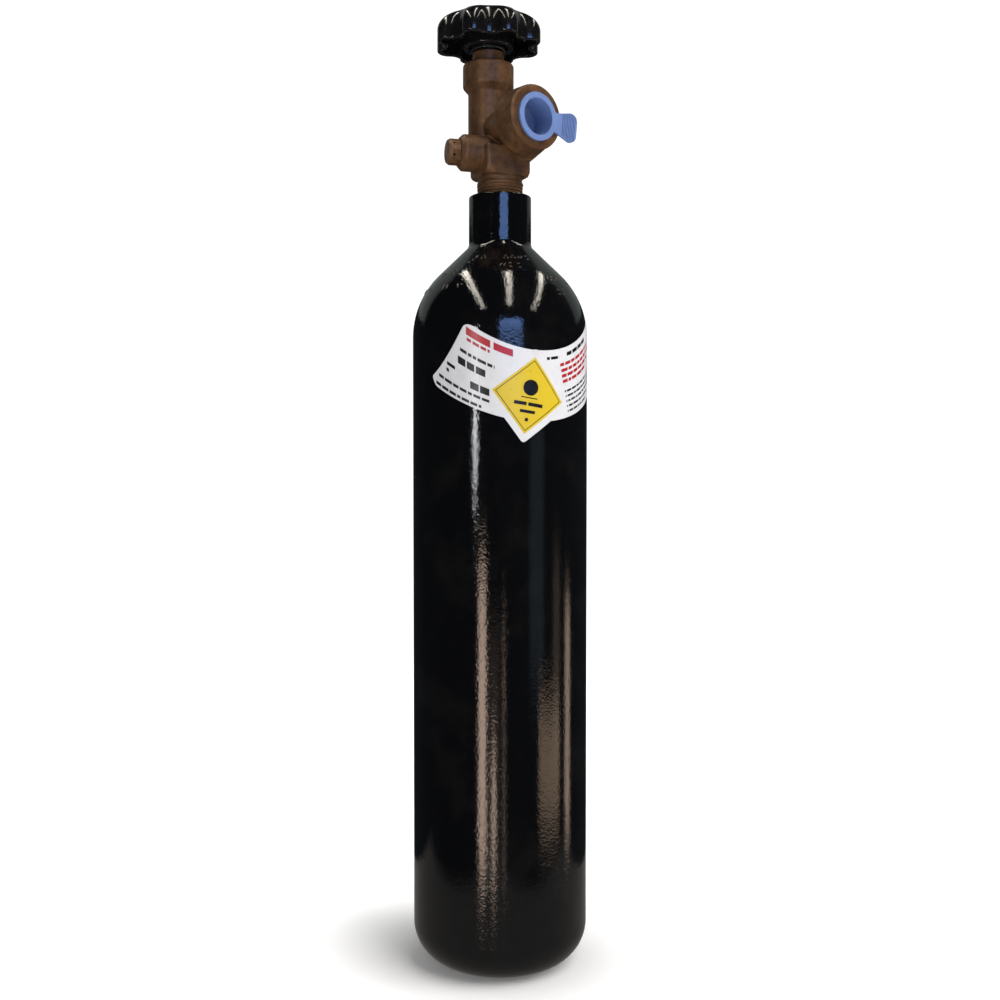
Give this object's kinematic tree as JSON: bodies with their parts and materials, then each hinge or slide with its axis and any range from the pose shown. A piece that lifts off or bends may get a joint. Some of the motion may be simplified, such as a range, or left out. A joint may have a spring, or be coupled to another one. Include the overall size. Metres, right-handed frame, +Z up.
{
  "type": "oxygen cylinder",
  "caption": "Small portable high-pressure gas cylinder with a domed shoulder, a side-outlet brass valve, a lobed handwheel, a burst-disc relief cap and a plastic outlet plug.",
  "frame": {"origin": "centre of the base, on the floor plane", "axes": "+Z up along the cylinder, -Y out of the valve's outlet, +X to the side the plug's tab hangs on"},
  "size_m": [0.102, 0.1021, 0.5568],
  "materials": {
    "black_paint": "gloss with fine orange peel",
    "tape": "matte",
    "label_film": "satin",
    "valve_brass": "tarnished, forged",
    "spindle_brass": "machined",
    "fibre": "matte",
    "seal_plastic": "matte",
    "seal_rubber": "matte",
    "wheel_plastic": "gloss",
    "fastener_steel": "zinc plated",
    "disc_metal": "thin sheet",
    "plug_plastic": "semi-gloss moulded"
  },
  "bodies": {
    "cylinder": {"cylinder_shell": "black_paint", "thread_tape": "tape", "shoulder_label": "label_film", "valve_body": "valve_brass", "gland_nut": "valve_brass", "gland_gasket": "fibre", "thrust_washer": "seal_plastic", "disc_gasket": "seal_plastic", "burst_disc": "disc_metal", "disc_ring": "spindle_brass", "relief_plug": "valve_brass"},
    "wheel": {"handwheel": "wheel_plastic", "handwheel_washer": "fastener_steel", "handwheel_nut": "fastener_steel", "upper_spindle": "spindle_brass", "stem_o_ring": "seal_rubber", "backup_ring": "seal_plastic"},
    "seat_carrier": {"lower_spindle": "spindle_brass", "seat_insert": "seal_plastic"},
    "plug": {"outlet_plug": "plug_plastic"}
  },
  "joints": [
    {"name": "handwheel_turn", "type": "hinge", "parent": "cylinder", "child": "wheel", "pos_m": [0, 0.0111, 0.535], "axis": [0, 0, 1], "range_deg": [0, 720]},
    {"name": "spindle_lift", "type": "slide", "parent": "wheel", "child": "seat_carrier", "axis": [0, 0, 1], "range_m": [0, 0.003]},
    {"name": "outlet_plug_pull", "type": "slide", "parent": "cylinder", "child": "plug", "axis": [0, -1, 0], "range_m": [0, 0.06]}
  ],
  "couplings": [
    {"joint": "handwheel_turn", "follows": "spindle_lift", "rad_per_m": 4188.8}
  ]
}
